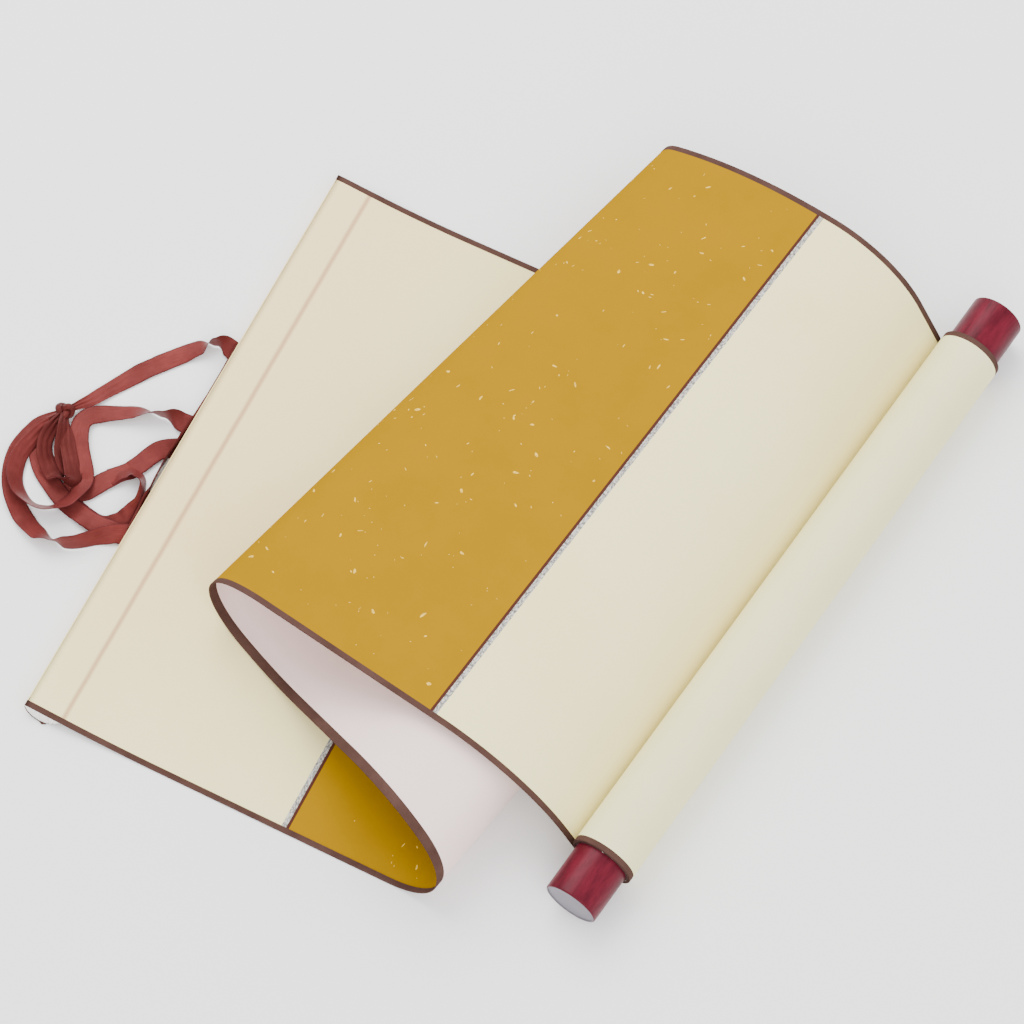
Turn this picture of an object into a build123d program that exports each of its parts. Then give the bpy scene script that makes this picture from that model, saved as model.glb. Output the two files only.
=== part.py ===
from build123d import *

import math
import os

# Hanging scroll, part unrolled and lying on a table, millimetres, +Z up.
# The sheet's far end is wound on the bottom roller; the rest runs back to the top stave in
# one standing Z fold.  Bench positions: the stave frame has its origin on the table under
# the middle of the stave's outer edge, X across the stave towards the sheet and Y along it.
# At the end everything moves to the row frame, with the roller along Y and the origin in the
# middle of the object's base.

# ---------------------------------------------------------------- driving dimensions
sheet_width = 330.0        # across the scroll, edge to edge
paper = 0.4                # mounted paper: backing, panel and edging pasted together
tangent_length = 720.0     # from the stave's outer edge, along the sheet, to the roll

stave_width = 18.0
pocket_slack = 2.0         # the pocket, seen from the front, is this much wider than the stave
stave_thickness = 5.0      # half-round: flat face up, round side down
stave_tilt = 8.0           # degrees; the stave rocks on its round side
stave_recess = 0.3         # how far the stave's ends sit inside the pocket's ends

rod_diameter = 30.0
roll_build = 1.8           # thickness of the wound turns
lead_in = 12.0             # straight sheet kept with the roll, before it touches the turns

knob_diameter = 28.0
knob_length = 26.0
knob_rounding = 0.8        # outer rim
knob_dish = 0.5            # depth of the sunk end face
knob_rim = 1.2             # width of the rim round it
tenon_diameter = 14.0
tenon_length = 16.0
socket_gap = 0.05          # radial clearance of the glued socket
socket_spare = 1.0         # air left past the tenon's end

ribbon_width = 10.0
ribbon_thickness = 0.6
hanger_share = 1 / 3       # the hanging ribbon spans the middle third of the stave
tangle_height = 8.0
tangle_rounding = 5.0

# Each bend turns the sheet about slanted lines across it.  A row gives where the bend starts
# and how long it is on the near edge, the same on the far edge, and its turn in degrees:
# positive curls the sheet up and back over itself.
lower_fold = (199, 70, 271, 70, 159)
lower_ease = (269, 57, 341, 57, 54)
upper_approach = (379, 51, 432, 51, -37)
upper_fold = (430, 62, 483, 40, -148)
upper_ease = (492, 20, 523, 92, -25)
shoulder_near = (618, 89)
shoulder_far = (620, 66)
shoulder_turn = -63.0      # first value; the last turn and far start are solved below
bend_steps = 12            # creases in a bend

# The ribbon's routes on the table, in the stave frame, from the stave outwards.
lead_route = [(1.5, 55), (-12, 51), (-24, 41), (-35, 27.5), (-43, 13), (-52, -1), (-62, -13)]
return_route = [(1, 6), (-9.3, 4.6), (-19.4, 2.1), (-30, -1.5), (-40.5, -7), (-48, -13)]
branch_route = [(1, -5), (-6.3, -11.5), (-11.8, -19.5), (-16.3, -28.5), (-22.5, -36.5)]
tangle_outline = [(-63, -7), (-45, -9), (-34, -31), (-12, -29), (-3, -35), (-3, -64), (-14, -77),
                  (-37, -84), (-58, -78), (-73, -62), (-79, -42), (-75, -20)]

roll_radius = rod_diameter / 2 + roll_build
half_width = sheet_width / 2
pocket_width = stave_width + pocket_slack
stave_radius = (stave_width ** 2 / 4 + stave_thickness ** 2) / (2 * stave_thickness)
pocket_radius = stave_radius + paper
stave_middle = paper + stave_width / 2
pocket_centre = (stave_middle, stave_radius - stave_thickness - paper / 2)


# ---------------------------------------------------------------- the folded sheet
def on_sheet(plane, along, across):
    """Point of the sheet's middle surface, from its flat coordinates."""
    return plane.from_local_coords(Vector(along, across, 0))


def turn_about(plane, near, far, angle):
    """The plane of the sheet past the crease from near to far."""
    crease = Axis((0, 0, 0), near - far)
    origin = near + (plane.origin - near).rotate(crease, angle)
    return Plane(origin, plane.x_dir.rotate(crease, angle), plane.z_dir.rotate(crease, angle))


def start_plane():
    """The sheet over the stave, whose round side touches the table."""
    tilt = math.radians(stave_tilt)
    rise = pocket_radius + pocket_centre[0] * math.sin(tilt) - pocket_centre[1] * math.cos(tilt)
    return Plane((0, 0, rise), (math.cos(tilt), 0, -math.sin(tilt)), (math.sin(tilt), 0, math.cos(tilt)))


def landing_bend():
    """The gentle bend from the pocket's seam down to the table."""
    tilt = math.radians(stave_tilt)
    drop = start_plane().origin.Z - pocket_width * math.sin(tilt) - paper / 2
    length = drop * tilt / (1 - math.cos(tilt))
    return pocket_width, length, pocket_width, length, stave_tilt


def ruling(plane, near_at, far_at):
    """A straight line across the sheet: its near and far points, and the sheet there."""
    return on_sheet(plane, near_at, -half_width), on_sheet(plane, far_at, half_width), plane


def fold_sheet(last_turn, far_shift):
    """The sheet from pocket to lead-in as spans of rulings: two on a flat, more on a bend."""
    near_start, near_length = shoulder_near
    far_start, far_length = shoulder_far
    shoulder = (near_start, near_length, far_start + far_shift, far_length, last_turn)
    plane = start_plane()
    spans = []
    before = (pocket_width, pocket_width)
    bends = (landing_bend(), lower_fold, lower_ease, upper_approach, upper_fold, upper_ease, shoulder)
    for bend in bends:
        near_start, near_length, far_start, far_length, turn = bend
        if near_start > before[0]:
            spans.append([ruling(plane, *before), ruling(plane, near_start, far_start)])
        bent = [ruling(plane, near_start, far_start)]
        for step in range(bend_steps):
            share = (step + 0.5) / bend_steps
            crease = ruling(plane, near_start + share * near_length, far_start + share * far_length)
            plane = turn_about(plane, crease[0], crease[1], turn / bend_steps)
            share = (step + 1) / bend_steps
            bent.append(ruling(plane, near_start + share * near_length, far_start + share * far_length))
        spans.append(bent)
        before = (near_start + near_length, far_start + far_length)
    end = tangent_length - lead_in
    spans.append([ruling(plane, *before), ruling(plane, end, end)])
    return spans, plane


def roll_error(last_turn, far_shift):
    """How far each end of the roll would float above the table."""
    plane = fold_sheet(last_turn, far_shift)[1]
    to_axis = plane.z_dir * (roll_radius - paper / 2)
    near = on_sheet(plane, tangent_length, -half_width) + to_axis
    far = on_sheet(plane, tangent_length, half_width) + to_axis
    return near.Z - roll_radius, far.Z - roll_radius


def solve_shoulder():
    """The last bend's turn and skew that lay the roll level on the table, by Newton's method."""
    turn, shift, nudge = shoulder_turn, 0.0, 0.01
    for _ in range(12):
        near, far = roll_error(turn, shift)
        near_turned, far_turned = roll_error(turn + nudge, shift)
        near_shifted, far_shifted = roll_error(turn, shift + nudge)
        a, b = (near_turned - near) / nudge, (near_shifted - near) / nudge
        c, d = (far_turned - far) / nudge, (far_shifted - far) / nudge
        determinant = a * d - b * c
        turn -= (d * near - b * far) / determinant
        shift -= (a * far - c * near) / determinant
    return turn, shift


def span_faces(span):
    """The four long faces of one span: top, far edge, underside and near edge."""
    half = paper / 2
    lines = []
    for pick, side in ((0, half), (1, half), (1, -half), (0, -half)):
        points = [row[pick] + row[2].z_dir * side for row in span]
        if len(points) == 2:
            lines.append(Edge.make_line(*points))
        else:
            lines.append(Edge.make_spline(points, tangents=[span[0][2].x_dir, span[-1][2].x_dir]))
    pairs = list(zip(lines, lines[1:] + lines[:1]))
    if len(span) == 2:
        return [Face(Wire.make_polygon([a @ 0, a @ 1, b @ 1, b @ 0], close=True)) for a, b in pairs]
    return [Face.make_surface_from_curves(a, b) for a, b in pairs]


def end_face(row):
    """The cut through the sheet at one ruling."""
    half = row[2].z_dir * (paper / 2)
    return Face(Wire.make_polygon([row[0] + half, row[1] + half, row[1] - half, row[0] - half], close=True))


def make_bent_sheet(spans):
    faces = [face for span in spans for face in span_faces(span)]
    return Solid(Shell(faces + [end_face(spans[0][0]), end_face(spans[-1][-1])]))


def section_plane(plane, along):
    """Drawing plane across the sheet at its middle: x along the sheet, y up out of it."""
    return Plane(on_sheet(plane, along, 0), plane.x_dir, -plane.y_dir)


def make_pocket():
    """The sheet wrapped round the stave and pasted down at the seam."""
    above = pocket_radius * 2
    outer = Pos(*pocket_centre) * Circle(pocket_radius)
    outer -= Pos(stave_middle, paper / 2 + above / 2) * Rectangle(4 * above, above)
    flap_length = pocket_width - stave_middle
    flap = Pos(stave_middle + flap_length / 2, 0) * Rectangle(flap_length, paper)
    wall = outer + flap - stave_section()
    return extrude(section_plane(start_plane(), 0) * wall, amount=half_width, both=True)


def stave_section():
    above = stave_radius * 2
    outline = Pos(*pocket_centre) * Circle(stave_radius)
    return outline - Pos(stave_middle, above / 2 - paper / 2) * Rectangle(4 * above, above)


def make_stave():
    length = half_width - stave_recess
    return extrude(section_plane(start_plane(), 0) * stave_section(), amount=length, both=True)


def make_roll(plane):
    """The lead-in and the wound turns as one section; the underside is tangent to the roll."""
    centre = Pos(0, roll_radius - paper / 2)
    wall = Pos(-lead_in / 2, 0) * Rectangle(lead_in, paper) + centre * Circle(roll_radius)
    wall -= centre * Circle(rod_diameter / 2)
    return extrude(section_plane(plane, tangent_length) * wall, amount=half_width, both=True)


def roller_frame(plane):
    """Origin at the middle of the roller's axis, z towards the far end."""
    centre = on_sheet(plane, tangent_length, 0) + plane.z_dir * (roll_radius - paper / 2)
    return Plane(centre, plane.x_dir, plane.y_dir)


def make_rod():
    """Turned rod with a tenon at each end."""
    rod = Cylinder(rod_diameter / 2, sheet_width)
    return rod + Cylinder(tenon_diameter / 2, sheet_width + 2 * tenon_length)


def make_knob():
    """Turned end knob, its socket at z = 0 and its dished end at +z."""
    bottom = (Align.CENTER, Align.CENTER, Align.MIN)
    knob = Cylinder(knob_diameter / 2, knob_length, align=bottom)
    knob = fillet(knob.edges().group_by(Axis.Z)[-1], knob_rounding)
    dish = Cylinder(knob_diameter / 2 - knob_rim, knob_dish, align=bottom)
    knob -= Pos(0, 0, knob_length - knob_dish) * dish
    socket_radius = tenon_diameter / 2 + socket_gap
    return knob - Cylinder(socket_radius, tenon_length + socket_spare, align=bottom)


def bend_radii(route):
    """0.45 of each corner's shorter run, divided by the tangent of half its turn."""
    radii = []
    for before, corner, after in zip(route, route[1:], route[2:]):
        first = Vector(*corner) - Vector(*before)
        second = Vector(*after) - Vector(*corner)
        half_turn = math.radians(first.get_angle(second)) / 2
        radii.append(0.45 * min(first.length, second.length) / math.tan(half_turn))
    return radii


def make_strand(route):
    """Ribbon lying flat along its route."""
    radii = bend_radii(route)
    print("ribbon bend radii", [round(radius, 1) for radius in radii])
    path = FilletPolyline(*route, radius=radii)
    print("ribbon strand length", round(path.length, 1))
    return extrude(trace(path, ribbon_width), amount=ribbon_thickness, dir=(0, 0, 1))


def make_hanger():
    """The hanging ribbon, edge up against the stave's outer edge and standing on the strands."""
    reach = math.sqrt(pocket_radius ** 2 - (pocket_centre[1] - paper / 2) ** 2)
    corner = on_sheet(start_plane(), stave_middle - reach, 0) + start_plane().z_dir * (paper / 2)
    align = (Align.MAX, Align.CENTER, Align.MAX)
    height = corner.Z - ribbon_thickness
    hanger = Box(ribbon_thickness, sheet_width * hanger_share, height, align=align)
    return Pos(corner.X, 0, corner.Z) * hanger


def make_tangle():
    """Outer shape of the knotted loops beside the stave."""
    outline = Polygon(*tangle_outline, align=None)
    outline = fillet(outline.vertices(), tangle_rounding)
    return extrude(outline, amount=tangle_height, dir=(0, 0, 1))


# ---------------------------------------------------------------- the pieces, in the stave frame
spans, last_plane = fold_sheet(*solve_shoulder())
roller = roller_frame(last_plane)
near_end = Plane(on_sheet(roller, 0, 0) - roller.z_dir * half_width, roller.x_dir, -roller.z_dir)
far_end = Plane(on_sheet(roller, 0, 0) + roller.z_dir * half_width, roller.x_dir, roller.z_dir)
tangle = make_tangle()

pieces = {
    "sheet": make_bent_sheet(spans) + make_pocket() + make_roll(last_plane),
    "top_stave": make_stave(),
    "roller_rod": roller * make_rod(),
    "near_knob": near_end * make_knob(),
    "far_knob": far_end * make_knob(),
}
ribbon = {
    "ribbon_hanger": make_hanger(),
    "ribbon_lead": make_strand(lead_route) - tangle,
    "ribbon_return": make_strand(return_route) - tangle,
    "ribbon_branch": make_strand(branch_route) - tangle,
    "ribbon_tangle": tangle,
}

# ---------------------------------------------------------------- row frame
turned = Rot(0, 0, math.degrees(math.atan2(roller.z_dir.X, roller.z_dir.Y)))
extent = Compound(children=[turned * piece for piece in pieces.values()]).bounding_box()
middle = extent.center()
row_frame = Pos(-middle.X, -middle.Y, -extent.min.Z) * turned

os.makedirs("parts", exist_ok=True)
for name, piece in {**pieces, **ribbon}.items():
    export_step(row_frame * piece, f"parts/{name}.step")


def report(label, point):
    """A place in the row frame, in metres."""
    placed = (row_frame * Pos(*point)).position
    print(label, [round(value / 1000, 5) for value in placed])


report("near knob, outer face", near_end.origin + near_end.z_dir * knob_length)
report("far knob, outer face", far_end.origin + far_end.z_dir * knob_length)
report("underside of the lower layer", (150, 0, 0))
report("hanger's middle", (0, 0, 0))
print("shoulder turn and skew", [round(value, 2) for value in solve_shoulder()])
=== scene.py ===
import math
import random

import bmesh
import bpy
from mathutils import Matrix, Vector, noise


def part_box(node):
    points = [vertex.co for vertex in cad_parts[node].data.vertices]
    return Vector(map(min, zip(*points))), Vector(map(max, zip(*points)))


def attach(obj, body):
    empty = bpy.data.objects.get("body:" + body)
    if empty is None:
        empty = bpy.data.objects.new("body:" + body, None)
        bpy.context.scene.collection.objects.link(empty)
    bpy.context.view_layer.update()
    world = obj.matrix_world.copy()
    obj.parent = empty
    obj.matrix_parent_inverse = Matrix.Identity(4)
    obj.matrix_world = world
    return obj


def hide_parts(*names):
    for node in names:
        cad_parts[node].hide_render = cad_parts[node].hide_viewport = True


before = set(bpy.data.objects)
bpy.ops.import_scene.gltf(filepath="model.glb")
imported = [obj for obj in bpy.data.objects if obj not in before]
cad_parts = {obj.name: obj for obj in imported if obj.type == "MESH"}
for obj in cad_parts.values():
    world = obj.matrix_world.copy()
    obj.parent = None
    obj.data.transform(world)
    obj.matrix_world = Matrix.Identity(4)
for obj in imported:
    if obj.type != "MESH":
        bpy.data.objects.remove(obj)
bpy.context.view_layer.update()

MM = 0.001

# ---------------------------------------------------------------- the scroll's own sizes, metres
SHEET_WIDTH = 0.330
PAPER = 0.0004
TANGENT = 0.720             # along the sheet, from the stave's outer edge to the roll
POCKET = 0.020              # width of the stave's pocket
STAVE_WIDTH = 0.018
STAVE_THICKNESS = 0.005
STAVE_TILT = math.radians(8)
ROD_RADIUS = 0.015
KNOB_CAP = 0.0133           # radius of the pale end, inside the rounded rim
ROLL_BUILD = 0.0018         # thickness of the wound turns
TURNS = 3

# places along the sheet, from the stave's outer edge
SEAM = 0.0203               # the flap's edge, which shows through the front
LOWER_LINE = 0.1428         # the panel's two ends
UPPER_LINE = 0.6140
FLUSH_BACK = 0.26           # up to here the back lies on or near the table, with its edging flush

# the sheet's trim and the ribbon
BROCADE = 0.0024
LINE_WIDTH = 0.0015         # dark line between the brocade and the panel
FRONT_EDGING = 0.0030
BACK_EDGING = 0.0048
ROLL_EDGING = 0.0030        # as much as the roll's outside shows
EDGING_RISE = 0.00012
RIBBON_WIDTH = 0.010
RIBBON_SHEET = 0.0004       # the ribbon's thickness

# bends: near start, near length, far start, far length (mm), turn (degrees)
BENDS = [
    (199, 70, 271, 70, 159),
    (269, 57, 341, 57, 54),
    (379, 51, 432, 51, -37),
    (430, 62, 483, 40, -148),
    (492, 20, 523, 92, -25),
]
SHOULDER = (618, 89, 620, 66)
SHOULDER_TURN = -60.92      # a first guess, which solve_shoulder refines
BEND_STEPS = 28
FLAT_STEP = 0.006           # between rulings where the sheet is flat

HALF = SHEET_WIDTH / 2
ROLL_RADIUS = ROD_RADIUS + ROLL_BUILD
STAVE_RADIUS = (STAVE_WIDTH ** 2 / 4 + STAVE_THICKNESS ** 2) / (2 * STAVE_THICKNESS)
POCKET_CENTRE = (PAPER + STAVE_WIDTH / 2, STAVE_RADIUS - STAVE_THICKNESS - PAPER / 2)


# ---------------------------------------------------------------- the folded sheet
class Flat:
    """The plane that the sheet lies in at some stage of its folding."""

    def __init__(self, origin, along, normal):
        self.origin, self.along, self.normal = origin, along, normal
        self.across = normal.cross(along)

    def at(self, along, across):
        return self.origin + self.along * along + self.across * across

    def turned(self, near, far, angle):
        """The same plane, turned about the ruling through these two points."""
        turn = Matrix.Rotation(angle, 3, (near - far).normalized())
        return Flat(near + turn @ (self.origin - near), turn @ self.along, turn @ self.normal)


def start_flat():
    """The plane of the pocket's front, with the stave's round side on the table."""
    slope, level = math.sin(STAVE_TILT), math.cos(STAVE_TILT)
    rise = STAVE_RADIUS + PAPER + POCKET_CENTRE[0] * slope - POCKET_CENTRE[1] * level
    return Flat(Vector((0, 0, rise)), Vector((level, 0, -slope)), Vector((slope, 0, level)))


def bend_table(last_turn, far_shift):
    """Every bend in metres and radians: first the landing on the table, last the roll's shoulder."""
    drop = start_flat().origin.z - POCKET * math.sin(STAVE_TILT) - PAPER / 2
    landing = drop * STAVE_TILT / (1 - math.cos(STAVE_TILT))
    table = [(POCKET, landing, POCKET, landing, STAVE_TILT)]
    near_start, near_length, far_start, far_length = SHOULDER
    shoulder = (near_start, near_length, far_start + far_shift, far_length, last_turn)
    for a, b, c, d, turn in BENDS + [shoulder]:
        table.append((a * MM, b * MM, c * MM, d * MM, math.radians(turn)))
    return table


def fold_sheet(last_turn, far_shift):
    """Rulings of the sheet: (near place, far place, near point, far point, normal)."""
    flat = start_flat()
    rows = []

    def rule(near_at, far_at):
        rows.append((near_at, far_at, flat.at(near_at, -HALF), flat.at(far_at, HALF), flat.normal.copy()))

    def run(before, after):
        count = max(1, round(((after[0] - before[0]) + (after[1] - before[1])) / 2 / FLAT_STEP))
        for k in range(count):
            share = k / count
            rule(before[0] + share * (after[0] - before[0]), before[1] + share * (after[1] - before[1]))

    rounding = 1e-6
    before = (POCKET, POCKET)
    for near_start, near_length, far_start, far_length, turn in bend_table(last_turn, far_shift):
        if near_start > before[0] + rounding:
            run(before, (near_start, far_start))
        for k in range(BEND_STEPS):
            share = k / BEND_STEPS
            rule(near_start + share * near_length, far_start + share * far_length)
            share = (k + 0.5) / BEND_STEPS
            near = flat.at(near_start + share * near_length, -HALF)
            far = flat.at(far_start + share * far_length, HALF)
            flat = flat.turned(near, far, turn / BEND_STEPS)
        before = (near_start + near_length, far_start + far_length)
    run(before, (TANGENT, TANGENT))
    return rows, flat


def roll_error(last_turn, far_shift):
    """How far above the table the roll's near and far ends come out."""
    flat = fold_sheet(last_turn, far_shift)[1]
    to_axis = flat.normal * (ROLL_RADIUS - PAPER / 2)
    return [(flat.at(TANGENT, side) + to_axis).z - ROLL_RADIUS for side in (-HALF, HALF)]


def solve_shoulder():
    """The last bend's turn and skew that lay the roll level on the table, by Newton's method."""
    rounds, nudge = 6, 0.01
    turn, shift = SHOULDER_TURN, 0.0
    for _ in range(rounds):
        near, far = roll_error(turn, shift)
        near_t, far_t = roll_error(turn + nudge, shift)
        near_s, far_s = roll_error(turn, shift + nudge)
        a, b = (near_t - near) / nudge, (near_s - near) / nudge
        c, d = (far_t - far) / nudge, (far_s - far) / nudge
        determinant = a * d - b * c
        turn -= (d * near - b * far) / determinant
        shift -= (a * far - c * near) / determinant
    return turn, shift


def pocket_rows():
    """From the pasted flap, round the stave's underside and outer edge, to the seam."""
    round_steps, corner_steps, front_steps = 24, 6, 5
    corner_inset = 0.00025          # the outer corner turns about a place this far inside
    front_inset = 0.0004            # the front starts this far from the outer edge
    apart = 1e-5                    # keeps the corner's rows apart on the flat sheet
    first_angle, corner_turn = 200, 110
    flat = start_flat()
    radius = STAVE_RADIUS + PAPER / 2
    reach = math.acos((POCKET_CENTRE[1] + PAPER / 2) / radius)
    outline = []
    for k in range(round_steps + 1):
        angle = reach - 2 * reach * k / round_steps
        across, down = math.sin(angle), -math.cos(angle)
        place = (POCKET_CENTRE[0] + radius * across, POCKET_CENTRE[1] + radius * down)
        outline.append((place, (across, down)))
    corner = outline[-1][0]
    for k in range(1, corner_steps):
        angle = math.radians(first_angle - corner_turn * k / corner_steps)
        outline.append(((corner[0] + corner_inset, corner[1]), (math.cos(angle), math.sin(angle))))
    for k in range(front_steps):
        outline.append(((POCKET * k / front_steps + front_inset * (k == 0), 0), (0, 1)))
    rows = []
    at = -2 * reach * radius
    last = None
    for (x, y), (nx, ny) in outline:
        if last is not None:
            at += math.hypot(x - last[0], y - last[1]) + apart
        last = (x, y)
        if y == 0 and nx == 0:
            at = x
        middle = flat.origin + flat.along * x + flat.normal * y
        normal = (flat.along * nx + flat.normal * ny).normalized()
        rows.append((at, at, middle - flat.across * HALF, middle + flat.across * HALF, normal))
    return rows


def roll_rows(flat):
    """The turns wound on the rod, from the outermost in."""
    centre = flat.at(TANGENT, 0) + flat.normal * (ROLL_RADIUS - PAPER / 2)
    pitch = ROLL_BUILD / TURNS
    steps = 72                      # a turn
    rows, at = [], TANGENT
    for k in range(steps * TURNS + 1):
        angle = 2 * math.pi * k / steps
        radius = ROLL_RADIUS - PAPER / 2 - pitch * k / steps
        outward = flat.along * math.sin(angle) - flat.normal * math.cos(angle)
        middle = centre + outward * radius
        rows.append((at, at, middle - flat.across * HALF, middle + flat.across * HALF, -outward))
        at += radius * 2 * math.pi / steps
    return rows


bent_rows, last_flat = fold_sheet(*solve_shoulder())
all_rows = pocket_rows() + bent_rows + roll_rows(last_flat)
roller_middle = last_flat.at(TANGENT, 0) + last_flat.normal * (ROLL_RADIUS - PAPER / 2)

# from the stave's frame, in which the sheet is folded, to the row frame
rod_low, rod_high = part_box("roller_rod")
heading = Matrix.Rotation(math.atan2(last_flat.across.x, last_flat.across.y), 4, "Z")
to_row = Matrix.Translation((rod_low + rod_high) / 2 - heading @ roller_middle) @ heading


# ---------------------------------------------------------------- helpers
def add_piece(name, mesh, materials):
    obj = bpy.data.objects.new(name, mesh)
    bpy.context.scene.collection.objects.link(obj)
    for material in materials:
        mesh.materials.append(material)
    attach(obj, "root")
    return obj


def finished_mesh(bm, name):
    """A mesh of the closed shape in bm, with its faces turned outward."""
    bmesh.ops.recalc_face_normals(bm, faces=bm.faces)
    mesh = bpy.data.meshes.new(name)
    bm.to_mesh(mesh)
    bm.free()
    return mesh


class Nodes:
    """A material's node tree, built one call at a time."""

    MIX_SHARE, MIX_A, MIX_B, MIX_COLOUR = 0, 6, 7, 2    # a colour mix's sockets

    def __init__(self, name):
        self.material = bpy.data.materials.new(name)
        self.material.use_nodes = True
        self.tree = self.material.node_tree
        self.shader = self.tree.nodes["Principled BSDF"]

    def add(self, kind, inputs=None, **settings):
        node = self.tree.nodes.new(kind)
        for key, value in settings.items():
            setattr(node, key, value)
        for key, value in (inputs or {}).items():
            self.set(node, key, value)
        return node

    def set(self, node, key, value):
        socket = node.inputs[key]
        if isinstance(value, bpy.types.NodeSocket):
            self.tree.links.new(value, socket)
        else:
            socket.default_value = value

    def math(self, operation, *values):
        node = self.add("ShaderNodeMath", operation=operation)
        for k, value in enumerate(values):
            self.set(node, k, value)
        return node.outputs[0]

    def mix(self, share, a, b):
        """Colour a where share is 0, and b where it is 1."""
        node = self.add("ShaderNodeMix", data_type="RGBA")
        self.set(node, self.MIX_SHARE, share)
        self.set(node, self.MIX_A, a)
        self.set(node, self.MIX_B, b)
        return node.outputs[self.MIX_COLOUR]

    def noise(self, where, scale, detail, rough):
        inputs = {"Vector": where, "Scale": scale, "Detail": detail, "Roughness": rough}
        return self.add("ShaderNodeTexNoise", inputs).outputs[0]

    def ramp(self, value, low, high):
        """0 up to low, then rising to 1 at high."""
        node = self.add("ShaderNodeMapRange", {0: value, 1: low, 2: high}, clamp=True)
        return node.outputs[0]

    def colour(self, value):
        self.set(self.shader, "Base Color", value)

    def bump(self, height, distance):
        node = self.add("ShaderNodeBump", {"Height": height, "Distance": distance, "Strength": 1.0})
        self.set(self.shader, "Normal", node.outputs[0])

    def finish_with(self, roughness, specular):
        self.shader.inputs["Roughness"].default_value = roughness
        self.shader.inputs["Specular IOR Level"].default_value = specular

    def place(self):
        """Where a point is on the flat sheet, in metres: x along, y across."""
        return self.add("ShaderNodeAttribute", attribute_name="flat_place").outputs["Vector"]

    def on_piece(self):
        """Where a point is in its piece's own frame."""
        return self.add("ShaderNodeTexCoord").outputs["Object"]

    def split(self, place):
        """A place's three coordinates."""
        return self.add("ShaderNodeSeparateXYZ", {0: place}).outputs

    def stretched(self, where, scale):
        node = self.add("ShaderNodeMapping", {"Vector": where, "Scale": scale})
        return node.outputs[0]


# ---------------------------------------------------------------- materials
def cream_paper():
    """Silk-faced paper: cloudy cream, a painted peach glow of reflected light near the stave, a darker
    seam and a very fine weave.
    """
    n = Nodes("cream_paper")
    place = n.place()
    cloud = n.ramp(n.noise(place, 14, 5, 0.6), 0.35, 0.7)
    warm = n.ramp(n.noise(place, 5, 3, 0.5), 0.42, 0.68)
    base = n.mix(cloud, (0.96, 0.87, 0.45, 1), (0.92, 0.81, 0.40, 1))
    base = n.mix(n.math("MULTIPLY", warm, 0.4), base, (0.94, 0.78, 0.37, 1))
    along, across, _ = n.split(place)
    glow_start, glow_end = 0.02, 0.12         # the painted glow of reflected light fades along the sheet, from the stave
    # painted reflected light: a warm peach glow near the stave, fading out towards the near edge
    painted_glow = n.math("SUBTRACT", 1.0, n.ramp(along, glow_start, glow_end))
    painted_glow = n.math("MULTIPLY", painted_glow, n.ramp(across, -HALF, -HALF / 3))
    base = n.mix(n.math("MULTIPLY", painted_glow, 0.6), base, (0.95, 0.70, 0.36, 1))
    seam_core, seam_blur, seam_wander = 0.0003, 0.0018, 0.0005
    wander = n.math("MULTIPLY", n.noise(place, 60, 3, 0.6), seam_wander)
    off_seam = n.math("ABSOLUTE", n.math("SUBTRACT", n.math("ADD", along, wander), SEAM))
    seam = n.math("SUBTRACT", 1.0, n.ramp(off_seam, seam_core, seam_blur))
    base = n.mix(n.math("MULTIPLY", seam, 0.85), base, (0.56, 0.33, 0.18, 1))
    n.colour(base)
    n.finish_with(0.85, 0.12)
    grain = n.noise(n.stretched(place, (1.0, 3.0, 1.0)), 1800, 3, 0.6)
    fibres = n.noise(n.stretched(place, (0.15, 1.0, 1.0)), 700, 4, 0.65)
    relief = n.math("ADD", grain, n.math("MULTIPLY", fibres, 0.7))
    n.bump(n.math("SUBTRACT", relief, n.math("MULTIPLY", seam, 2.0)), 0.00008)
    return n.material


def panel_paper():
    """Orange-yellow writing panel, slightly mottled."""
    n = Nodes("panel_paper")
    place = n.place()
    mottle = n.ramp(n.noise(place, 30, 6, 0.65), 0.3, 0.75)
    base = n.mix(mottle, (0.32, 0.168, 0.0, 1), (0.295, 0.152, 0.0, 1))
    n.colour(base)
    n.finish_with(0.8, 0.0)
    n.bump(n.noise(place, 1200, 5, 0.7), 0.00006)
    return n.material


def brocade():
    """Pale silk strip with grey speckled cross threads."""
    n = Nodes("brocade_strip")
    place = n.place()
    threads = n.noise(n.stretched(place, (1.0, 0.45, 1.0)), 1500, 3, 0.7)
    speckle = n.ramp(threads, 0.41, 0.55)
    patches = n.ramp(n.noise(place, 260, 2, 0.5), 0.15, 0.5)
    dark = n.math("MULTIPLY", speckle, patches)
    n.colour(n.mix(dark, (0.62, 0.60, 0.54, 1), (0.15, 0.145, 0.14, 1)))
    n.finish_with(0.6, 0.1)
    n.bump(threads, 0.0001)
    return n.material


def edging_strip():
    """Brown woven edging along both long sides of the sheet."""
    n = Nodes("brown_edging")
    place = n.place()
    fleck = n.noise(place, 900, 4, 0.7)
    tone = n.ramp(n.noise(place, 60, 4, 0.6), 0.3, 0.7)
    base = n.mix(tone, (0.060, 0.030, 0.024, 1), (0.088, 0.046, 0.037, 1))
    base = n.mix(n.math("MULTIPLY", n.ramp(fleck, 0.5, 0.8), 0.35), base, (0.03, 0.012, 0.011, 1))
    n.colour(base)
    n.finish_with(0.85, 0.03)
    n.bump(fleck, 0.0001)
    return n.material


def dark_line():
    """Thin dark red-brown line at each end of the panel."""
    n = Nodes("dark_line")
    fleck = n.noise(n.place(), 900, 4, 0.7)
    n.colour(n.mix(fleck, (0.055, 0.018, 0.013, 1), (0.082, 0.028, 0.019, 1)))
    n.finish_with(0.8, 0.05)
    n.bump(fleck, 0.00006)
    return n.material


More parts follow.
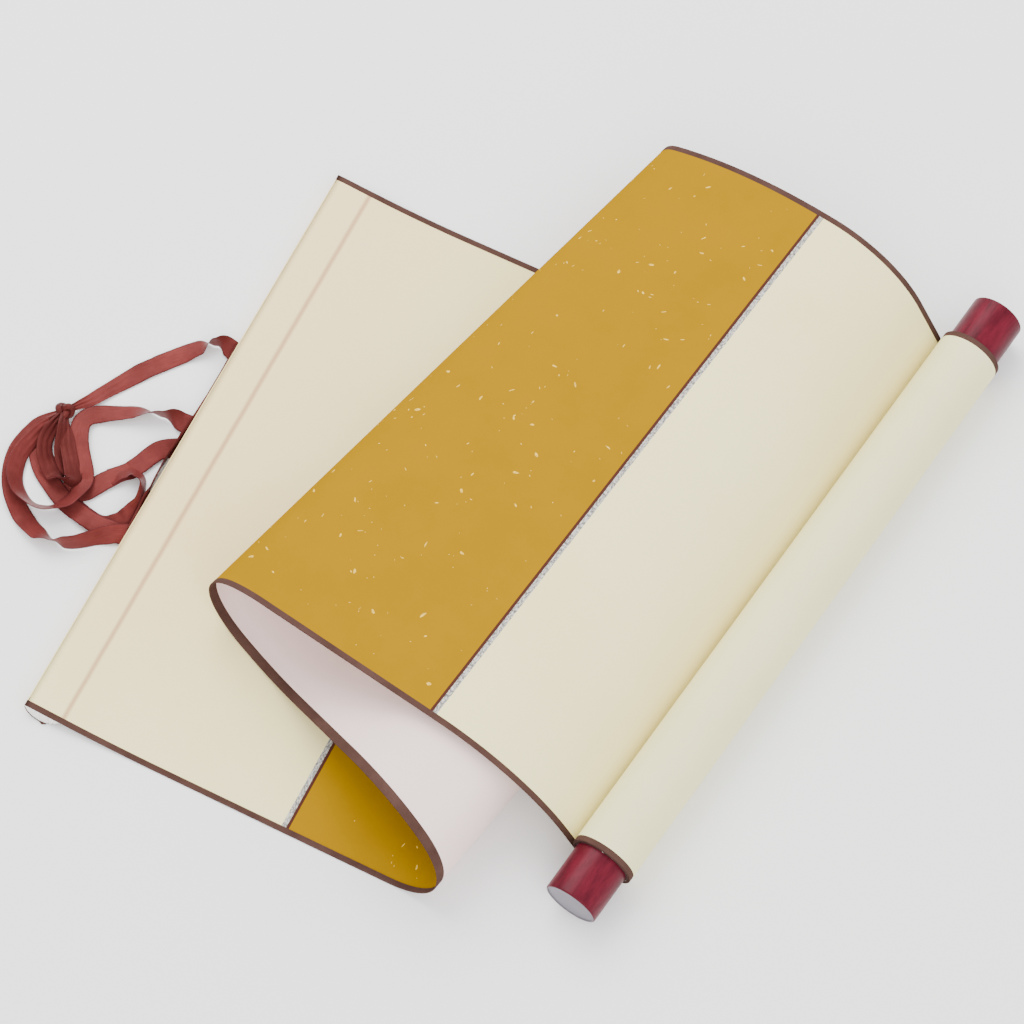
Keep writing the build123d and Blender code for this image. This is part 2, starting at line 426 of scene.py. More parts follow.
def backing_paper():
    """Back of the sheet: plain, slightly grey, with faint clouds and specks."""
    n = Nodes("backing_paper")
    place = n.place()
    cloud = n.ramp(n.noise(place, 22, 5, 0.6), 0.35, 0.7)
    base = n.mix(cloud, (0.84, 0.80, 0.45, 1), (0.79, 0.75, 0.41, 1))
    specks = n.ramp(n.noise(place, 420, 2, 0.5), 0.74, 0.8)
    base = n.mix(n.math("MULTIPLY", specks, 0.25), base, (0.5, 0.45, 0.3, 1))
    n.colour(base)
    n.finish_with(0.85, 0.1)
    fibres = n.noise(n.stretched(place, (1.0, 0.2, 1.0)), 600, 4, 0.65)
    n.bump(fibres, 0.0001)
    return n.material


def panel_back():
    """Back of the panel: the colour shows through pinkish white."""
    n = Nodes("panel_back")
    place = n.place()
    cloud = n.ramp(n.noise(place, 12, 5, 0.6), 0.3, 0.7)
    n.colour(n.mix(cloud, (0.92, 0.73, 0.69, 1), (0.88, 0.68, 0.64, 1)))
    n.finish_with(0.85, 0.1)
    n.bump(n.noise(place, 900, 4, 0.65), 0.00006)
    return n.material


def torn_white():
    """Torn white backing with fuzzy fibres."""
    n = Nodes("torn_white")
    place = n.place()
    fibres = n.noise(n.stretched(place, (1.0, 0.4, 1.0)), 1400, 4, 0.7)
    n.colour(n.mix(n.ramp(fibres, 0.4, 0.7), (0.92, 0.90, 0.86, 1), (0.62, 0.60, 0.57, 1)))
    n.finish_with(0.9, 0.05)
    n.bump(fibres, 0.0002)
    return n.material


def wood(name, light, dark):
    """Bare wood with its grain along the bar."""
    n = Nodes(name)
    where = n.on_piece()
    rings = n.noise(n.stretched(where, (60.0, 3.0, 60.0)), 6, 5, 0.6)
    n.colour(n.mix(n.ramp(rings, 0.35, 0.65), light, dark))
    n.finish_with(0.7, 0.15)
    n.bump(rings, 0.0002)
    return n.material


def knob_lacquer():
    """Burgundy gloss with darker and brighter streaks along the knob."""
    n = Nodes("knob_lacquer")
    where = n.on_piece()
    shade = n.noise(n.stretched(where, (1.0, 0.25, 1.0)), 160, 5, 0.65)
    veins = n.noise(n.stretched(where, (1.0, 0.12, 1.0)), 420, 6, 0.7)
    base = n.mix(n.ramp(shade, 0.35, 0.7), (0.060, 0.003, 0.009, 1), (0.135, 0.008, 0.021, 1))
    base = n.mix(n.ramp(veins, 0.55, 0.75), base, (0.02, 0.002, 0.005, 1))
    n.colour(base)
    n.finish_with(0.34, 0.11)
    return n.material


def glued_end():
    """Rod's end round the knob: brown stain with a few chips of white paper and glue."""
    n = Nodes("glued_end")
    where = n.on_piece()
    chips = n.ramp(n.noise(where, 260, 4, 0.7), 0.60, 0.66)
    n.colour(n.mix(chips, (0.045, 0.020, 0.018, 1), (0.75, 0.72, 0.64, 1)))
    n.finish_with(0.8, 0.1)
    n.bump(chips, 0.0003)
    return n.material


def knob_cap():
    """The knob's pale grey end."""
    n = Nodes("knob_cap")
    where = n.on_piece()
    cloud = n.noise(where, 180, 5, 0.6)
    n.colour(n.mix(n.ramp(cloud, 0.3, 0.7), (0.19, 0.175, 0.20, 1), (0.155, 0.142, 0.168, 1)))
    n.finish_with(0.5, 0.25)
    n.bump(n.noise(where, 1500, 3, 0.6), 0.00005)
    return n.material


def satin(name, painted_shade_scale):
    """Dark red satin, brighter along the threads where it faces the light; the second argument scales its
    colour down, for a darker copy that is painted shade.
    """
    def red(r, g, b):
        return (r * painted_shade_scale, g * painted_shade_scale, b * painted_shade_scale, 1)

    n = Nodes(name)
    place = n.add("ShaderNodeAttribute", attribute_name="ribbon_place").outputs["Vector"]
    threads = n.noise(n.stretched(place, (0.06, 1.0, 1.0)), 2600, 3, 0.6)
    # the lighter patches are partly random tone of the satin and partly painted sheen highlights
    tone = n.noise(place, 45, 4, 0.6)
    base = n.mix(n.ramp(tone, 0.3, 0.7), red(0.090, 0.017, 0.016), red(0.168, 0.032, 0.030))
    base = n.mix(n.math("MULTIPLY", n.ramp(threads, 0.45, 0.75), 0.5), base, red(0.065, 0.008, 0.008))
    # painted shade: the ribbon is darker along both edges, where its sheen turns dark
    off_middle = n.math("ABSOLUTE", n.split(place)[1])
    painted_edge_shade = n.ramp(off_middle, RIBBON_WIDTH * 0.43, RIBBON_WIDTH * 0.5)
    base = n.mix(n.math("MULTIPLY", painted_edge_shade, 0.75), base, (0.05, 0.010, 0.014, 1))
    n.colour(base)
    n.finish_with(0.38, 0.16)
    n.shader.inputs["Specular Tint"].default_value = (1.0, 0.35, 0.3, 1)
    n.shader.inputs["Anisotropic"].default_value = 0.6
    n.bump(threads, 0.00008)
    return n.material


def fleck_foil():
    """Pale gold leaf, its lighter and darker spots painted glints."""
    n = Nodes("fleck_foil")
    place = n.place()
    shine = n.ramp(n.noise(place, 900, 2, 0.5), 0.3, 0.7)
    n.colour(n.mix(shine, (0.84, 0.58, 0.10, 1), (0.52, 0.30, 0.03, 1)))
    n.finish_with(0.5, 0.03)
    return n.material


# ---------------------------------------------------------------- the sheet's surface
def on_sheet(along, across, lift):
    """Point on the sheet's middle surface, lifted this far towards its front, in the row frame."""
    share = (across + HALF) / SHEET_WIDTH

    def reach(row):
        return row[0] + share * (row[1] - row[0])

    low, high = 0, len(all_rows) - 1
    while high - low > 1:
        middle = (low + high) // 2
        if reach(all_rows[middle]) <= along:
            low = middle
        else:
            high = middle
    a, b = all_rows[low], all_rows[high]
    step = (along - reach(a)) / (reach(b) - reach(a))
    point = a[2].lerp(a[3], share).lerp(b[2].lerp(b[3], share), step)
    return to_row @ (point + a[4].lerp(b[4], step).normalized() * lift)


def across_columns():
    """Places across the sheet, closer together at the edging."""
    count = 52
    outer_strip = 0.0005            # first column, at the sheet's cut side
    step_width = 0.0002             # over which the edging steps down to the paper
    edging = [-HALF, -HALF + outer_strip]
    for width in (FRONT_EDGING, BACK_EDGING):
        edging += [-HALF + width - step_width, -HALF + width]
    inner = [edging[-1] + (SHEET_WIDTH - 2 * BACK_EDGING) * k / count for k in range(1, count)]
    return edging + inner + [-place for place in reversed(edging)]


# the sheet's material slots
CREAM, PANEL, STRIP, LINE, EDGE, BACK, PANEL_BACK = range(7)


def zone(along, across, front):
    """Which material a place on the sheet has."""
    edging = FRONT_EDGING if front else ROLL_EDGING if along > TANGENT else BACK_EDGING
    if abs(across) > HALF - edging:
        return EDGE
    inside = min(along - LOWER_LINE, UPPER_LINE - along)
    if not front:
        return PANEL_BACK if inside > 0 else BACK
    if inside > LINE_WIDTH:
        return PANEL
    if inside > 0:
        return LINE
    return STRIP if inside > -BROCADE else CREAM


def edging_rise(along, across, front):
    """The edging stands a little proud, except in the pocket, in the roll and by the table."""
    edging = FRONT_EDGING if front else BACK_EDGING
    rounding = 0.00001
    on_edging = abs(across) >= HALF - edging + rounding
    flush_back = not front and along < FLUSH_BACK
    if not on_edging or along < POCKET or along > TANGENT or flush_back:
        return 0.0
    return EDGING_RISE


def make_sheet():
    """Both faces as flat grids, cut along the zones' borders and then folded."""
    columns = across_columns()
    shares = [(across + HALF) / SHEET_WIDTH for across in columns]
    bm = bmesh.new()
    grids = {}
    for side in (1, -1):
        grids[side] = [[bm.verts.new((near + share * (far - near), across, side))
                        for share, across in zip(shares, columns)]
                       for near, far, *_ in all_rows]
    for side, grid in grids.items():
        for first, second in zip(grid, grid[1:]):
            for j in range(len(columns) - 1):
                bm.faces.new([first[j], second[j], second[j + 1], first[j + 1]][::side])
    front, back = grids[1], grids[-1]
    for k in range(len(all_rows) - 1):
        for j in (0, -1):
            bm.faces.new([front[k][j], front[k + 1][j], back[k + 1][j], back[k][j]])
    for j in range(len(columns) - 1):
        for k in (0, -1):
            bm.faces.new([front[k][j], front[k][j + 1], back[k][j + 1], back[k][j]])
    for border in (LOWER_LINE - BROCADE, LOWER_LINE, LOWER_LINE + LINE_WIDTH,
                   UPPER_LINE - LINE_WIDTH, UPPER_LINE, UPPER_LINE + BROCADE):
        geometry = bm.verts[:] + bm.edges[:] + bm.faces[:]
        bmesh.ops.bisect_plane(bm, geom=geometry, plane_co=(border, 0, 0), plane_no=(1, 0, 0))
    for face in bm.faces:
        centre = face.calc_center_median()
        on_edge = abs(centre.z) < 0.5
        face.material_index = EDGE if on_edge else zone(centre.x, centre.y, centre.z > 0)
        face.smooth = not on_edge
    layer = bm.verts.layers.float_vector.new("flat_place")
    for vertex in bm.verts:
        along, across, side = vertex.co
        vertex[layer] = (along, across, 0)
        vertex.co = on_sheet(along, across, side * (PAPER / 2 + edging_rise(along, across, side > 0)))
    return finished_mesh(bm, "scroll_sheet")


sheet_materials = [cream_paper(), panel_paper(), brocade(), dark_line(), edging_strip(), backing_paper(),
                   panel_back()]
sheet = add_piece("scroll_sheet", make_sheet(), sheet_materials)
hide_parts("sheet")


# ---------------------------------------------------------------- flecks pressed into the panel
def fleck_outline(strewn, sides):
    """A ragged oval on the panel, at a random place and turned at random."""
    end_margin, side_margin = 0.004, 0.007
    shortest, extra = 0.0004, 0.0016        # half of its length; most are short
    along = strewn.uniform(LOWER_LINE + end_margin, UPPER_LINE - end_margin)
    across = strewn.uniform(-HALF + side_margin, HALF - side_margin)
    bearing = strewn.uniform(0, math.pi)
    length = shortest + extra * strewn.random() ** 3
    width = length * strewn.uniform(0.2, 0.55)
    outline = []
    for k in range(sides):
        angle = 2 * math.pi * k / sides
        u = length * math.cos(angle) * strewn.uniform(0.7, 1.1)
        v = width * math.sin(angle) * strewn.uniform(0.5, 1.3)
        outline.append((along + u * math.cos(bearing) - v * math.sin(bearing),
                        across + u * math.sin(bearing) + v * math.cos(bearing)))
    return outline


def make_flecks(count):
    """Thin slivers of pale foil, strewn at random over the panel."""
    strewn = random.Random(7)
    sides = 7
    top, underside = 0.00004, 0.00001       # above the paper's face
    bm = bmesh.new()
    layer = bm.verts.layers.float_vector.new("flat_place")
    for _ in range(count):
        outline = fleck_outline(strewn, sides)
        rims = []
        for lift in (top, underside):
            rim = []
            for x, y in outline:
                vertex = bm.verts.new(on_sheet(x, y, PAPER / 2 + lift))
                vertex[layer] = (x, y, 0)
                rim.append(vertex)
            rims.append(rim)
        bm.faces.new(rims[0])
        bm.faces.new(rims[1][::-1])
        for k in range(sides):
            after = (k + 1) % sides
            bm.faces.new([rims[0][k], rims[1][k], rims[1][after], rims[0][after]])
    return finished_mesh(bm, "panel_flecks")


add_piece("panel_flecks", make_flecks(count=900), [fleck_foil()])


# ---------------------------------------------------------------- the torn corner of the pocket's flap
def make_scrap(name, inner, outer, material):
    """A bit of paper between two outlines, given as (across the stave, outward, up) in mm."""
    half_thick = 0.08
    bm = bmesh.new()
    layer = bm.verts.layers.float_vector.new("flat_place")
    sides = []
    for lift in (half_thick, -half_thick):
        outlines = []
        for outline in (inner, outer):
            rim = []
            for x, out, z in outline:
                vertex = bm.verts.new(to_row @ Vector((x * MM, -HALF - out * MM, (z + lift) * MM)))
                vertex[layer] = (x * MM, out * MM, 0)
                rim.append(vertex)
            outlines.append(rim)
        sides.append(outlines)
    (inner_top, outer_top), (inner_low, outer_low) = sides
    ring_top = inner_top + outer_top[::-1]
    ring_low = inner_low + outer_low[::-1]
    for k in range(len(inner) - 1):
        bm.faces.new([inner_top[k], inner_top[k + 1], outer_top[k + 1], outer_top[k]])
        bm.faces.new([inner_low[k], outer_low[k], outer_low[k + 1], inner_low[k + 1]])
    for k in range(len(ring_top)):
        after = (k + 1) % len(ring_top)
        bm.faces.new([ring_top[k], ring_low[k], ring_low[after], ring_top[after]])
    add_piece(name, finished_mesh(bm, name), [material])


make_scrap("torn_lining",
           [(0.6, 0.05, 6.5), (3, 0.05, 6.2), (5.5, 0.05, 5.9), (9, 0.05, 5.4), (12.4, 0.05, 4.9),
            (13.8, 0.05, 4.7), (15, 0.05, 4.6), (16, 0.05, 4.4), (17, 0.05, 4.3), (18.2, 0.05, 4.1),
            (19.3, 0.05, 4)],
           [(0.5, 0.4, 6), (2, 1.2, 3.9), (4.5, 1.8, 1.9), (8.5, 2.1, 0.6), (12, 2, 0.6),
            (13.4, 1.2, 1.1), (14.6, 1.7, 1.3), (15.6, 0.7, 1.9), (16.6, 1.2, 2.3), (17.8, 0.4, 3.2),
            (18.8, 0.2, 3.7)],
           torn_white())
make_scrap("torn_edging",
           [(0.4, 0.3, 6), (1.9, 1.1, 3.8), (4.4, 1.7, 1.8), (8.4, 2, 0.5), (9.3, 2, 0.4),
            (12.3, 1.9, 0.5)],
           [(0.1, 0.6, 5.9), (1.6, 1.5, 3.6), (4.2, 2.2, 1.6), (8.3, 2.5, 0.4), (10.6, 3.3, 0.3),
            (12.5, 2.4, 0.4)],
           sheet_materials[EDGE])


# ---------------------------------------------------------------- ribbon
# routes on the table in mm: across the stave towards the sheet, along it, and up
LEAD = [(0.8, 51.3, 0.6), (-3.6, 52.6, 0.8), (-8.3, 52.6, 0.8), (-12.6, 50.6, 0.5), (-18.1, 46.1, 0.5),
        (-23.8, 39.7, 0.6), (-29.9, 32.1, 0.5), (-35.9, 24.5, 0.5), (-39.5, 19.2, 0.5),
        (-43.9, 12, 0.5), (-48.2, 4.8, 0.6), (-52.3, -2.8, 1), (-56.1, -9.2, 2), (-60.5, -15.5, 3.4)]
HANGER = [(1.3, 55, 0.4), (1.5, 48, 0.4), (1.6, 38, 0.4), (1.6, 29, 0.4), (1.5, 19, 0.4),
          (0.9, 8.8, 0.4), (-0.6, -0.6, 0.2), (-2.2, -10.4, 0.1), (-3, -17, 0.1), (-3, -25, 0.1),
          (-2.2, -35, 0.1), (-0.4, -43, 0.2), (1, -51, 0.3), (1.3, -60, 0.4)]
RETURN = [(1, 5.6, 2), (-3.5, 5, 1.4), (-9.3, 4.6, 1), (-14.3, 3.6, 0.7), (-19.4, 2.1, 0.6),
          (-27.1, 0.2, 0.5), (-32.9, -2.7, 0.5), (-38.1, -5.6, 0.8), (-44.6, -9, 1.4),
          (-49.6, -12.8, 2), (-51.4, -18, 2.6), (-49, -24.7, 3), (-44.7, -31.5, 3), (-40, -37.1, 3),
          (-35.7, -42, 2.8), (-33.4, -48, 2.4), (-33.3, -54.8, 2.2), (-35.9, -62, 2.2),
          (-41.2, -68.2, 2), (-49.6, -70.2, 1.6), (-58.5, -67.4, 1.5), (-65.6, -60.8, 1.5),
          (-69, -52.8, 1.6), (-69.6, -44, 2), (-67.5, -34.4, 2.6), (-64.2, -25.1, 3.2),
          (-62.3, -18.5, 3.6)]
BRANCH = [(0.6, -6.7, 0.6), (-4, -10.2, 1), (-8.4, -13.8, 1.3), (-11.2, -18.7, 1.4),
          (-13.4, -24.7, 1.4), (-16.5, -30.7, 1.4), (-21.1, -35.5, 1.4), (-24.9, -40.4, 1.3),
          (-27.7, -45.2, 1), (-31, -51, 0.8), (-37, -52.5, 0.6), (-43, -50, 0.8)]
LOOP = [(-24, -38, 0.5), (-19.5, -33, 0.4), (-14.5, -30.5, 0.4), (-9, -31.8, 0.5), (-5, -36, 0.7),
        (-3.2, -42, 0.9), (-3.2, -49, 0.8), (-5.6, -56, 0.5), (-10.3, -60.8, 0.4), (-16.6, -62.8, 0.4),
        (-24, -62, 0.4), (-31, -60.3, 0.4), (-38.5, -58, 0.4)]
OUTER = [(-62.2, -18.2, 3.4), (-67.8, -23.1, 2), (-71.4, -29.8, 0.9), (-72.9, -38.6, 0.5),
         (-72.4, -48.3, 0.5), (-69.8, -56.9, 0.5), (-65.4, -64.8, 0.5), (-58.8, -71.8, 0.5),
         (-50.4, -77.6, 0.5), (-41, -81.4, 0.5), (-31, -82.6, 0.5), (-22.4, -79.6, 0.5),
         (-15.4, -73.4, 0.6), (-8.8, -67, 1), (-3, -63.2, 1.4), (0.5, -60.8, 2)]
DIAGONAL = [(-62, -18.6, 3.2), (-65.2, -25.5, 2.2), (-66, -33.5, 1.4), (-63, -42, 1.1),
            (-56.6, -49.3, 1.1), (-48.4, -54, 1.2), (-39.1, -59.2, 1.2), (-30.3, -61.7, 1.4),
            (-20.2, -63.5, 1.7), (-10.9, -63.7, 1.8), (-3, -63.2, 1.5), (0.6, -62.9, 1.3)]
BUNDLE = [(-61.4, -18.2, 3.4), (-62.5, -27.4, 3), (-62, -37.3, 2.6), (-56.2, -45.1, 2.4),
          (-47.6, -50.7, 2.2), (-39.5, -52.6, 2.4), (-37.6, -48.9, 3), (-43, -42, 3.6),
          (-49.2, -34.7, 3.8), (-54.3, -27.3, 3.8), (-59.2, -20.4, 3.6)]
TUCK = [(-60.8, -18.6, 3.6), (-56.5, -24, 3.4), (-54, -32, 2.8), (-51.5, -39, 2.2), (-46.5, -44, 1.6),
        (-41, -45.8, 1), (-38.2, -41.5, 0.8), (-41, -34.5, 0.8), (-45.6, -28, 0.8), (-49.5, -22, 0.8)]


def smooth_line(name, route):
    """Points read from the NURBS spline that the route's points control."""
    curve = bpy.data.curves.new(name + "_route", "CURVE")
    curve.dimensions = "3D"
    curve.resolution_u = 12
    spline = curve.splines.new("NURBS")
    spline.points.add(len(route) - 1)
    for control, place in zip(spline.points, route):
        control.co = (*(to_row @ (Vector(place) * MM)), 1)
    spline.order_u = 3
    spline.use_endpoint_u = True
    holder = bpy.data.objects.new(name + "_route", curve)
    mesh = bpy.data.meshes.new_from_object(holder)
    line = [vertex.co.copy() for vertex in mesh.vertices]
    bpy.data.objects.remove(holder)
    bpy.data.curves.remove(curve)
    bpy.data.meshes.remove(mesh)
    return line


def evenly(line, step):
    """The same line in equal steps."""
    lengths = [0.0]
    for a, b in zip(line, line[1:]):
        lengths.append(lengths[-1] + (b - a).length)
    fewest = 8
    count = max(fewest, round(lengths[-1] / step))
    points, k = [], 0
    for i in range(count + 1):
        wanted = lengths[-1] * i / count
        while k < len(line) - 2 and lengths[k + 1] < wanted:
            k += 1
        points.append(line[k].lerp(line[k + 1], (wanted - lengths[k]) / (lengths[k + 1] - lengths[k])))
    return points, lengths[-1]


def eased(keys, share):
    """Value at this share of the length, eased between (share, value) keys."""
    for (a, low), (b, high) in zip(keys, keys[1:]):
        if share <= b:
            t = (share - a) / (b - a)
            return low + (high - low) * t * t * (3 - 2 * t)
    return keys[-1][1]


def strip_mesh(name, sections, places):
    """Closed mesh through equal cross-sections, each a ring of points."""
    bm = bmesh.new()
    layer = bm.verts.layers.float_vector.new("ribbon_place")
    rings = []
    for section, along in zip(sections, places):
        ring = []
        for point, across in section:
            vertex = bm.verts.new(point)
            vertex[layer] = (along, across, 0)
            ring.append(vertex)
        rings.append(ring)
    count = len(rings[0])
    for first, second in zip(rings, rings[1:]):
        for k in range(count):
            face = bm.faces.new([first[k], second[k], second[(k + 1) % count], first[(k + 1) % count]])
            face.smooth = True
    bm.faces.new(rings[0])
    bm.faces.new(rings[-1][::-1])
    return finished_mesh(bm, name)


def section_frame(line, k):
    """Sideways and upward directions across the line at its point k."""
    tangent = (line[min(k + 1, len(line) - 1)] - line[max(k - 1, 0)]).normalized()
    side = tangent.cross(Vector((0, 0, 1))).normalized()
    return side, side.cross(tangent)


def drift(along, per_metre, seed, lane):
    """A smooth random value, from -1 to 1, that changes along a ribbon."""
    return noise.noise(Vector((along * per_metre, seed, lane)))


def make_band(name, route, rolls, widths, seed):
    """A flat ribbon on its route: rolls are its tilt in degrees, 180 for a half twist."""
    step, half_count = 0.0007, 6            # between sections, and points each side of the middle
    waver_turn = 9                          # degrees
    ripple_height, cup_depth, cup_level = 0.00018, 0.0004, 0.4
    pleat_height, pleat_turn = 0.0009, 9    # radians from the middle to a selvedge
    selvedge_thinning = 0.6
    line, length = evenly(smooth_line(name, route), step)
    sections, places, middles = [], [], []
    for k, point in enumerate(line):
        share = k / (len(line) - 1)
        along = share * length
        side, up = section_frame(line, k)
        waver = drift(along, 90, seed, 0.3)
        roll = math.radians(eased(rolls, share) + waver_turn * waver)
        width = eased(widths, share)
        half = RIBBON_WIDTH / 2 * width
        across = side * math.cos(roll) + up * math.sin(roll)
        normal = up * math.cos(roll) - side * math.sin(roll)
        ripple = ripple_height * (1 + drift(along, 260, seed, 7.1))
        middle = point + Vector((0, 0, half * abs(math.sin(roll)) + ripple))
        cup = cup_depth * drift(along, 70, seed, 3.7)
        top, bottom = [], []
        for j in range(2 * half_count + 1):
            t = j / half_count - 1
            fold = (1 - width) * pleat_height * math.sin(t * pleat_turn + seed + 2 * waver)
            place = middle + across * (half * t) + normal * (cup * (t * t - cup_level) + fold)
            thick = RIBBON_SHEET / 2 * (1 - selvedge_thinning * t ** 8)
            top.append((place + normal * thick, half * t))
            bottom.append((place - normal * thick, half * t))
        sections.append(top + bottom[::-1])
        places.append(along)
        middles.append(middle)
    return strip_mesh(name, sections, places), middles


ribbon_material = satin("ribbon_satin", 1.0)
# a darker copy of the satin: painted shade for the ribbon parts that face away from the light
shaded_satin = satin("ribbon_satin_painted_shade", 0.6)


def add_ribbon(name, route, rolls, seed, widths=((0, 1), (1, 1)), stands_for=None,
               material=ribbon_material):
    """A band on its route; stands_for names the CAD node that it takes over."""
    mesh, middles = make_band(name, route, rolls, widths, seed)
    obj = add_piece(name, mesh, [material])
    if stands_for:
        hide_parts(stands_for)


def make_knot():
    """Small tight overhand knot of gathered ribbon, as a flattened three-leaved loop."""
    centre = Vector((-61.4, -17.4, 4.6))
    scale = Vector((1.25, 1.5, -1.5))           # mm for a unit of the curve
    steps, ring_points = 150, 16
    turn_made, run = 0.97, 0.06                 # share of the loop, and its length in metres
    half_width, half_height = 0.0017, 0.00095
    pleats, pleat_depth = 5, 0.14
    points = []
    for k in range(steps + 1):
        t = 2 * math.pi * k / steps * turn_made
        x = math.sin(t) + 2 * math.sin(2 * t)
        y = math.cos(t) - 2 * math.cos(2 * t)
        offset = Vector((scale.x * x, scale.y * y, scale.z * math.sin(3 * t)))
        points.append(to_row @ ((centre + offset) * MM))
    sections, places = [], []
    for k, point in enumerate(points):
        side, up = section_frame(points, k)
        ring = []
        for j in range(ring_points):
            angle = 2 * math.pi * j / ring_points
            pleat = 1 + pleat_depth * math.sin(pleats * angle + 3 * k / steps)
            across = half_width * math.cos(angle) * pleat
            ring.append((point + side * across + up * (half_height * math.sin(angle) * pleat), across))
        sections.append(ring)
        places.append(run * k / steps)
    return strip_mesh("ribbon_knot", sections, places)


# the knot wears the darker satin: painted shade
knot = add_piece("ribbon_knot", make_knot(), [shaded_satin])

# widths and rolls are keys of (share of the length, value): a share of the full width, or degrees
TO_KNOT = ((0, 1), (0.55, 1), (0.8, 0.8), (1, 0.35))
FROM_KNOT = ((0, 0.4), (0.12, 0.85), (0.25, 1), (1, 1))
BOTH_AT_KNOT = ((0, 0.4), (0.15, 0.8), (0.5, 1), (0.85, 0.8), (1, 0.4))

add_ribbon("ribbon_to_knot", LEAD,
           ((0, 8), (0.05, 24), (0.13, 92), (0.22, 160), (0.35, 183), (0.8, 178), (1, 200)),
           1, TO_KNOT, "ribbon_lead")
# the strand along the stave wears the darker satin: painted shade
add_ribbon("ribbon_along_stave", HANGER,
           ((0, 44), (0.4, 44), (0.58, 98), (0.76, 102), (0.88, 50), (1, 44)),
           2, ((0, 0.7), (1, 0.7)), "ribbon_hanger", material=shaded_satin)
add_ribbon("ribbon_inner_loop", RETURN,
           ((0, 10), (0.03, 10), (0.09, 95), (0.18, 154), (0.27, 180), (0.47, 184), (0.56, 146),
            (0.62, 128), (0.67, 123), (0.73, 130), (0.82, 142), (0.92, 150), (1, 190)),
           3, ((0, 1), (0.8, 1), (0.93, 0.75), (1, 0.4)), "ribbon_return")
add_ribbon("ribbon_branch_strand", BRANCH,
           ((0, 8), (0.12, 12), (0.4, 4), (0.5, -8), (0.7, 4), (1, 0)),
           4, stands_for="ribbon_branch")
add_ribbon("ribbon_side_loop", LOOP,
           ((0, 5), (0.1, 24), (0.2, 54), (0.3, 78), (0.4, 80), (0.5, 48), (0.58, 18), (0.7, 2), (1, 0)),
           5)
add_ribbon("ribbon_outer_loop", OUTER,
           ((0, -20), (0.2, 8), (0.4, 22), (0.52, 8), (0.62, 24), (0.69, 64), (0.75, 102), (0.85, 116),
            (0.93, 142), (1, 168)),
           6, FROM_KNOT, "ribbon_tangle")
add_ribbon("ribbon_diagonal", DIAGONAL,
           ((0, 20), (0.2, 4), (0.8, 0), (0.93, -6), (1, 0)),
           7, FROM_KNOT)
# the bundle and the tuck wear the darker satin: painted shade
add_ribbon("ribbon_bundle", BUNDLE,
           ((0, 40), (0.25, 25), (0.42, 10), (0.52, 80), (0.62, 150), (0.8, 165), (1, 140)),
           8, BOTH_AT_KNOT, material=shaded_satin)
add_ribbon("ribbon_tuck", TUCK,
           ((0, 60), (0.3, 48), (0.6, 30), (0.8, 8), (1, 0)),
           9, ((0, 0.4), (0.12, 0.85), (0.45, 0.9), (0.65, 0.6), (1, 0.5)), material=shaded_satin)


# ---------------------------------------------------------------- carried-over CAD pieces
def paint(name, *materials):
    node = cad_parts[name]
    node.data.materials.clear()
    for material in materials:
        node.data.materials.append(material)
    return node


paint("top_stave", wood("stave_wood", (0.78, 0.77, 0.74, 1), (0.66, 0.65, 0.62, 1)))
rod = paint("roller_rod", wood("rod_wood", (0.62, 0.50, 0.28, 1), (0.45, 0.34, 0.17, 1)), glued_end())
for polygon in rod.data.polygons:
    end_face = abs(polygon.normal.y) > 0.9
    polygon.material_index = 1 if end_face else 0
lacquer, cap = knob_lacquer(), knob_cap()
for name, corner in (("near_knob", 0), ("far_knob", 1)):
    knob = paint(name, lacquer, cap)
    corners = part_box(name)
    outer_end = corners[corner].y
    axis = (corners[0] + corners[1]) / 2
    for polygon in knob.data.polygons:
        reach = math.hypot(polygon.center.x - axis.x, polygon.center.z - axis.z)
        on_end = abs(polygon.center.y - outer_end) < MM
        polygon.material_index = 1 if on_end and reach < KNOB_CAP else 0


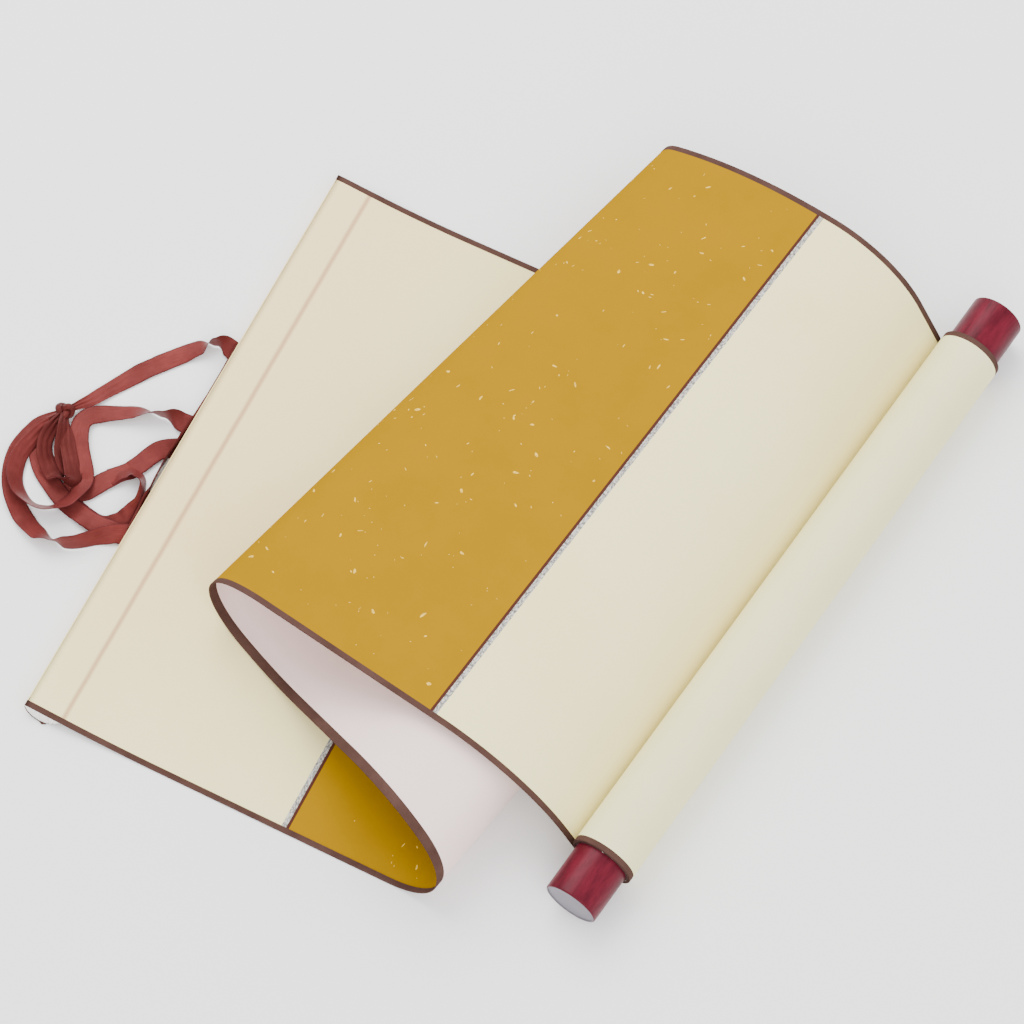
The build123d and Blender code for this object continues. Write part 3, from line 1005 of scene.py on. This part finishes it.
# ---------------------------------------------------------------- camera, floor and light
CAMERA_AZIMUTH = math.radians(35.09)
CAMERA_ELEVATION = math.radians(66.03)
CAMERA_DISTANCE = 1.784
CAMERA_TARGET = Vector((0.0115, -0.001, 0.0))
CAMERA_LENS = 125.05        # mm, on a 36 mm sensor

FLOOR_GAP = 0.0002          # keeps the floor just clear of the paper
WORLD_STRENGTH = 1.75


def make_camera():
    back = Vector((math.sin(CAMERA_AZIMUTH) * math.cos(CAMERA_ELEVATION),
                   -math.cos(CAMERA_AZIMUTH) * math.cos(CAMERA_ELEVATION), math.sin(CAMERA_ELEVATION)))
    camera = bpy.data.objects.new("camera", bpy.data.cameras.new("camera"))
    camera.data.lens = CAMERA_LENS
    camera.data.sensor_width = 36
    camera.location = CAMERA_TARGET + back * CAMERA_DISTANCE
    camera.rotation_mode = "QUATERNION"
    camera.rotation_quaternion = (-back).to_track_quat("-Z", "Y")
    bpy.context.scene.collection.objects.link(camera)
    bpy.context.scene.camera = camera


def make_floor():
    bm = bmesh.new()
    bmesh.ops.create_grid(bm, x_segments=1, y_segments=1, size=3.0)
    mesh = bpy.data.meshes.new("floor")
    bm.to_mesh(mesh)
    bm.free()
    floor = bpy.data.objects.new("floor", mesh)
    n = Nodes("floor_white")
    n.colour((0.94, 0.94, 0.94, 1))
    n.shader.inputs["Roughness"].default_value = 0.9
    mesh.materials.append(n.material)
    floor.location.z = -FLOOR_GAP
    bpy.context.scene.collection.objects.link(floor)


def area_light(name, place, size, power):
    """A square light that looks at the middle of the object's base."""
    light = bpy.data.lights.new(name, "AREA")
    light.size = size
    light.energy = power
    obj = bpy.data.objects.new(name, light)
    obj.location = place
    obj.rotation_mode = "QUATERNION"
    obj.rotation_quaternion = (-Vector(place)).to_track_quat("-Z", "Y")
    bpy.context.scene.collection.objects.link(obj)


def make_world():
    world = bpy.data.worlds.new("studio")
    world.use_nodes = True
    background = world.node_tree.nodes["Background"]
    background.inputs["Color"].default_value = (1, 1, 1, 1)
    background.inputs["Strength"].default_value = WORLD_STRENGTH
    bpy.context.scene.world = world


make_camera()
make_floor()
area_light("key", (-0.9, 0.6, 1.6), 1.4, 42)
area_light("fill", (1.2, -1.0, 1.4), 1.6, 22)
make_world()
